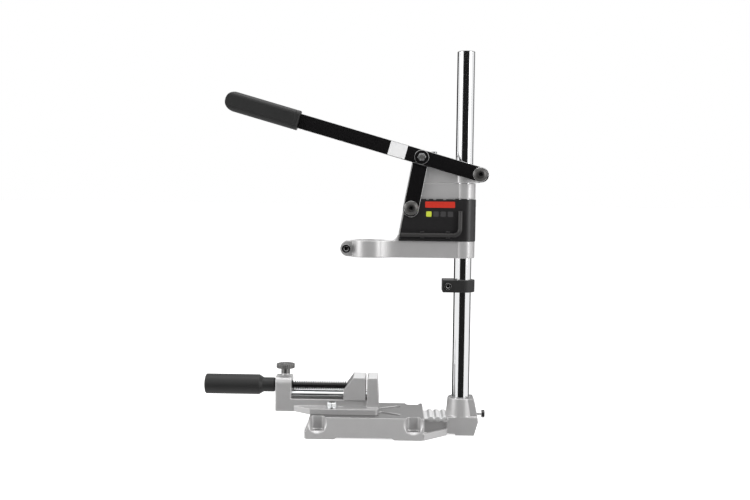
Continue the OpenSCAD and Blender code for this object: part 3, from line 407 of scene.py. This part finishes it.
round_wire = [i * pi / 6 for i in range(12)]
ring = [(coil_r + wire_r * cos(turn), 0, spring_foot + wire_r * sin(turn)) for turn in round_wire]
wound = drawn_line("return_spring_piece", ring)
select_only(wound)
bpy.ops.object.mode_set(mode="EDIT")
bpy.ops.mesh.select_all(action="SELECT")
bpy.ops.mesh.edge_face_add()
bpy.ops.object.mode_set(mode="OBJECT")
coil = wound.modifiers.new("wound", "SCREW")
coil.axis = "Z"
coil.steps = round_steps
coil.render_steps = round_steps
coil.screw_offset = coil_pitch
coil.iterations = curls
bpy.ops.object.modifier_apply(modifier=coil.name)
bpy.ops.object.mode_set(mode="EDIT")
bpy.ops.mesh.select_all(action="SELECT")
bpy.ops.mesh.remove_doubles(threshold=2e-6)
bpy.ops.mesh.normals_make_consistent(inside=False)
bpy.ops.object.mode_set(mode="OBJECT")
bpy.ops.object.shade_smooth_by_angle(angle=radians(50))
painted(wound, spring_wire)
stands_for(wound, "return_spring", "seat")
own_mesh(wound)

# Fulcrum block
# A small casting clamped on the column by a set screw; the lever turns on its rear lug, and a hex
# screw in its nose stands under the lever.
block_top_z = 360 * mm
cast("fulcrum_block", "head", 0.55 * mm, 5, 0.4, milled_bright, block_top_z)
finished("block_set_screw", black_steel)
dressed("lever_stop_screw", "head", zinc, 0.4 * mm)

# Carriage casting
# The slide, the arm and the split collar for the drill's neck, die cast in one piece, with two
# bronze bushes pressed in.
arm_top_z = 260 * mm
cast("carriage_casting", "carriage", 0.6 * mm, 5, 0.33, milled_bright, arm_top_z)
finished("upper_bush", brass)
finished("lower_bush", brass)

# Collar screw and nut
# A black cap screw through the collar's ears pulls the slit shut on the drill's neck. Its nut sits
# on the far ear.
# The screw's broken edges carry a painted highlight.
dressed("collar_screw", "carriage", black_steel, 0.4 * mm, painted_edge=painted_edge_highlight)
dressed("collar_nut", "carriage", grey_steel, 0.4 * mm)

# Slide cover and its label
# A moulded black cover snapped over the slide and the spring, with two hooks for the hex key. Its
# label is a plain red strip over plain coloured squares.
dressed("cover", "carriage", black_plastic, 0.5 * mm)


def printed(name, code, edge_code):
    """Print on a plastic film: an even colour under a thin clear coat, a little worn to the edges"""
    return grained(name, code, edge_code, 12 * mm, 1.2 * mm, (0.3, 0.4), 0.0, 0.05)


def sticker(name, body, material, centre, width, height, thick, corner, turn=0.0):
    """A thin film stuck on a face that looks to -Y, with round corners"""
    bpy.ops.object.select_all(action="DESELECT")
    bpy.ops.mesh.primitive_cube_add(size=1, location=(0, 0, 0))
    film = bpy.context.object
    film.name = name
    bpy.ops.object.mode_set(mode="EDIT")
    bpy.ops.mesh.select_all(action="SELECT")
    bpy.ops.transform.resize(value=(width, thick, height))
    bpy.ops.object.mode_set(mode="OBJECT")
    rounding = film.modifiers.new("corners", "BEVEL")
    rounding.width = corner
    rounding.segments = 4
    rounding.limit_method = "WEIGHT"
    weights = film.data.attributes.new("bevel_weight_edge", "FLOAT", "EDGE")
    for edge in film.data.edges:
        a, b = (film.data.vertices[i].co for i in edge.vertices)
        weights.data[edge.index].value = 1.0 if abs(a.y - b.y) > 0.5 * thick else 0.0
    bpy.ops.object.modifier_apply(modifier=rounding.name)
    film.data.transform(Matrix.Translation(Vector(centre)) @ Matrix.Rotation(turn, 4, "Y"))
    bpy.ops.object.shade_smooth_by_angle(angle=radians(34))
    film.data.materials.append(material)
    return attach(film, body)


label_red = printed("printed_film_red", "#c22a1c", "#d5331f")
label_lime = printed("printed_film_lime", "#c2cf3a", "#ced94a")
label_grey = printed("printed_film_grey", "#3b3a3b", "#464546")
cover_face, film_t = -17.2 * mm, 0.16 * mm
film_y = cover_face - film_t / 2
label_x, label_z, label_w, label_h = -34.4 * mm, 326.9 * mm, 41.9 * mm, 8.7 * mm
sticker("cover_label", "carriage", label_red,
        (label_x, film_y, label_z), label_w, label_h, film_t, 1.2 * mm)
square_x, square_step, square_z, square_w = -50.0 * mm, 10.1 * mm, 313.7 * mm, 7.6 * mm
for i in range(4):
    sticker("cover_square_%d" % (i + 1), "carriage", label_lime if i == 0 else label_grey,
            (square_x + square_step * i, film_y, square_z), square_w, square_w, film_t, 1.4 * mm)

# Hex key
# A hexagon bar of tool steel, bent and hardened, which fits the cap screws. It is kept in the hooks
# of the cover and pulls out of them.

# Tool steel, hardened and oiled: a darker oxide than the bolts have.
key_steel = grained("hardened_tool_steel", "#2f2e2e", "#3a3939",
                    8 * mm, 0.9 * mm, (0.3, 0.4), 0.7, 0.1)
dressed("hex_key", "key", key_steel, 0.3 * mm)

# Links
# Two flat strips with round ends between the lever and the carriage, punched and black lacquered; a
# painted highlight runs along their broken edges.
for side in ("near", "far"):
    dressed("link_" + side, "links", black_steel, 1.05 * mm, painted_edge=painted_edge_highlight)

# Lever
# A long flat strip on the near side and a short one on the far side, black lacquered, with a moulded
# grip pushed on the long one. A white film on it is a painted highlight.
# The strips' broken edges carry a painted highlight.
for side in ("near", "far"):
    dressed("lever_strip_" + side, "lever", black_steel, 0.6 * mm, painted_edge=painted_edge_highlight)

lever_turn = radians(15.85)
fulcrum = Vector((20.3, 0, 369.5)) * mm
lever_out = Vector((-cos(lever_turn), 0, sin(lever_turn)))
lever_up = Vector((sin(lever_turn), 0, cos(lever_turn)))
strip_low, strip_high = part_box("lever_strip_near")
strip_middle = Vector((0, (strip_low.y + strip_high.y) / 2, 0))

grip = dressed("lever_grip", "lever", grip_plastic, 0.7 * mm, 3)
# A fine groove runs round the grip near its mouth: four cuts, of which the inner two are drawn in.
# The mouth's own opening, where the strip passes, is left as it is.
groove_cuts = [268.5 * mm, 268.9 * mm, 269.3 * mm, 269.7 * mm]
groove_depth = 0.965
mouth_half_h, mouth_half_w = 11 * mm, 3 * mm
groove_centre = fulcrum + strip_middle + lever_out * (groove_cuts[1] + groove_cuts[2]) / 2
select_only(grip)
bpy.ops.mesh.customdata_custom_splitnormals_clear()
bpy.ops.object.mode_set(mode="EDIT")
for along in groove_cuts:
    bpy.ops.mesh.select_all(action="SELECT")
    bpy.ops.mesh.bisect(plane_co=fulcrum + lever_out * along, plane_no=lever_out)
bpy.ops.mesh.select_all(action="DESELECT")
bpy.ops.object.mode_set(mode="OBJECT")
for point in grip.data.vertices:
    place = point.co - fulcrum - strip_middle
    in_groove = groove_cuts[1] - 0.05 * mm < place.dot(lever_out) < groove_cuts[2] + 0.05 * mm
    outside = abs(place.dot(lever_up)) > mouth_half_h or abs(place.y) > mouth_half_w
    point.select = in_groove and outside
bpy.ops.object.mode_set(mode="EDIT")
bpy.ops.transform.resize(value=(groove_depth, groove_depth, groove_depth), center_override=groove_centre)
bpy.ops.object.mode_set(mode="OBJECT")
smoothed(grip, 34)

# A painted highlight: a white film where the lever catches the light from the left.
lever_highlight_film = printed("painted_highlight_film_white", "#e9e9ea", "#f2f2f2")
highlight_film_w, highlight_film_h = 24.6 * mm, 19.4 * mm
highlight_film_place = fulcrum + lever_out * 119.7 * mm
sticker("lever_painted_highlight", "lever", lever_highlight_film,
        (highlight_film_place.x, strip_low.y - film_t / 2, highlight_film_place.z),
        highlight_film_w, highlight_film_h, film_t, 0.5 * mm, lever_turn)

# Pivot bolts
# Low round heads with a hexagon socket at the fulcrum and at the links' lower end, and a through
# bolt with washers and a nut at the middle, where lever and links meet.
shaded_socket_r, shaded_socket_d = 3.5 * mm, 3.2 * mm


def low_headed(node, body):
    """A bolt with a painted highlight on the broken edges round its head; the hexagon socket in the head is
    painted black as shade
    """
    bolt = dressed(node, body, dark_steel, 0.55 * mm, painted_edge=painted_edge_highlight)
    bolt.data.materials.append(black_steel)
    low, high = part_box(node)
    for face in bolt.data.polygons:
        off_axis = Vector((face.center.x - (low.x + high.x) / 2, face.center.z - (low.z + high.z) / 2))
        if off_axis.length < shaded_socket_r and face.center.y < low.y + shaded_socket_d:
            face.material_index = 2


low_headed("fulcrum_bolt", "head")
dressed("fulcrum_nut", "head", grey_steel, 0.4 * mm)
low_headed("lower_bolt", "carriage")
dressed("lower_nut", "carriage", grey_steel, 0.4 * mm)
dressed("mid_bolt", "lever", grey_steel, 0.4 * mm)
dressed("mid_nut", "lever", zinc, 0.5 * mm)
# The washers' broken edges carry a painted highlight.
dressed("mid_washers", "lever", black_steel, 0.7 * mm, painted_edge=painted_edge_highlight)
finished("mid_spacer", grey_steel)

# Floor
# A pale studio floor that runs out to white and keeps the object's shadow. It isn't part of the
# object.
bpy.ops.object.select_all(action="DESELECT")
bpy.ops.mesh.primitive_plane_add(size=60, location=(0, 0, -0.2 * mm))
floor = bpy.context.object
floor.name = "studio_floor"
floor.visible_glossy = False
floor_paint = bpy.data.materials.new("studio_floor_white")
floor_paint.use_nodes = True
tree = floor_paint.node_tree
shader = tree.nodes["Principled BSDF"]
shader.inputs["Base Color"].default_value = srgb("#f0f0f0")
shader.inputs["Roughness"].default_value = 0.9
shader.inputs["Emission Color"].default_value = (1, 1, 1, 1)
path = put(tree, "ShaderNodeLightPath", {})
floor_glow = 0.62
glow = put(tree, "ShaderNodeMath", {0: path.outputs["Is Camera Ray"], 1: floor_glow}, operation="MULTIPLY")
tree.links.new(glow.outputs["Value"], shader.inputs["Emission Strength"])
floor.data.materials.append(floor_paint)

# Studio light
# A white room, three soft boxes and dark cards that only reflections see, as a photographer
# sets them to give polished metal its dark band.
world = bpy.data.worlds.new("white_room")
bpy.context.scene.world = world
world.use_nodes = True
tree = world.node_tree
back = tree.nodes["Background"]
path = put(tree, "ShaderNodeLightPath", {})
seen = put(tree, "ShaderNodeMath", {0: path.outputs["Is Camera Ray"], 1: path.outputs["Is Glossy Ray"]},
           operation="MAXIMUM")
seen = put(tree, "ShaderNodeMath", {0: seen.outputs["Value"], 1: path.outputs["Is Transmission Ray"]},
           operation="MAXIMUM")
level = put(tree, "ShaderNodeMapRange", {"Value": seen.outputs["Value"], "To Min": 0.5, "To Max": 1.0})
back.inputs["Color"].default_value = (1, 1, 1, 1)
tree.links.new(level.outputs["Result"], back.inputs["Strength"])


def softbox(name, place, target, width, height, watts):
    lamp = bpy.data.lights.new(name, "AREA")
    lamp.shape = "RECTANGLE"
    lamp.size = width
    lamp.size_y = height
    lamp.energy = watts
    holder = bpy.data.objects.new(name, lamp)
    bpy.context.scene.collection.objects.link(holder)
    holder.location = place
    holder.rotation_euler = (Vector(target) - Vector(place)).to_track_quat("-Z", "Y").to_euler()


softbox("softbox_top", (-0.1, -0.1, 1.9), (-0.1, 0, 0.25), 1.3, 1.0, 14)
softbox("softbox_left", (-1.95, -0.85, 0.8), (-0.1, 0, 0.25), 0.5, 1.4, 13)
softbox("softbox_right", (1.5, -1.1, 0.8), (-0.1, 0, 0.25), 0.5, 1.4, 12)


def card(name, place, target, width, height, code):
    bpy.ops.object.select_all(action="DESELECT")
    bpy.ops.mesh.primitive_plane_add(size=1, location=(0, 0, 0))
    sheet = bpy.context.object
    sheet.name = name
    sheet.scale = (width, height, 1)
    sheet.location = place
    sheet.rotation_euler = (Vector(target) - Vector(place)).to_track_quat("Z", "Y").to_euler()
    sheet.visible_camera = False
    sheet.visible_diffuse = False
    sheet.visible_shadow = False
    sheet.visible_transmission = False
    felt = bpy.data.materials.new(name + "_felt")
    felt.use_nodes = True
    felt.node_tree.nodes["Principled BSDF"].inputs["Base Color"].default_value = srgb(code)
    felt.node_tree.nodes["Principled BSDF"].inputs["Roughness"].default_value = 1.0
    sheet.data.materials.append(felt)


card("card_behind_camera", (-0.76, -10, -2.3), (-0.76, 0, -2.3), 16, 11.4, "#101010")
card("card_back_left", (-1.38, 1.97, 0.25), (0, 0, 0.25), 2.4, 1.7, "#101010")
card("card_back_right", (1.81, 1.57, 0.25), (0, 0, 0.25), 1.8, 1.7, "#9a9a9a")

# Camera
# The photograph's viewpoint: almost side on, a little above the collar's height.
yaw, pitch_down, roll = -0.0215, 0.0602, 0.0119
ahead = Vector((sin(yaw) * cos(pitch_down), cos(yaw) * cos(pitch_down), -sin(pitch_down)))
right = Vector((cos(yaw), -sin(yaw), 0))
up = right.cross(ahead)
right, up = cos(roll) * right + sin(roll) * up, cos(roll) * up - sin(roll) * right
lens = bpy.data.cameras.new("photo_camera")
lens.lens = 43.2
lens.sensor_width = 36
camera = bpy.data.objects.new("photo_camera", lens)
bpy.context.scene.collection.objects.link(camera)
camera.matrix_world = Matrix((
    (right.x, up.x, -ahead.x, -0.0978),
    (right.y, up.y, -ahead.y, -1.2832),
    (right.z, up.z, -ahead.z, 0.3384),
    (0, 0, 0, 1)))
bpy.context.scene.camera = camera
bpy.context.scene.view_settings.view_transform = "Standard"
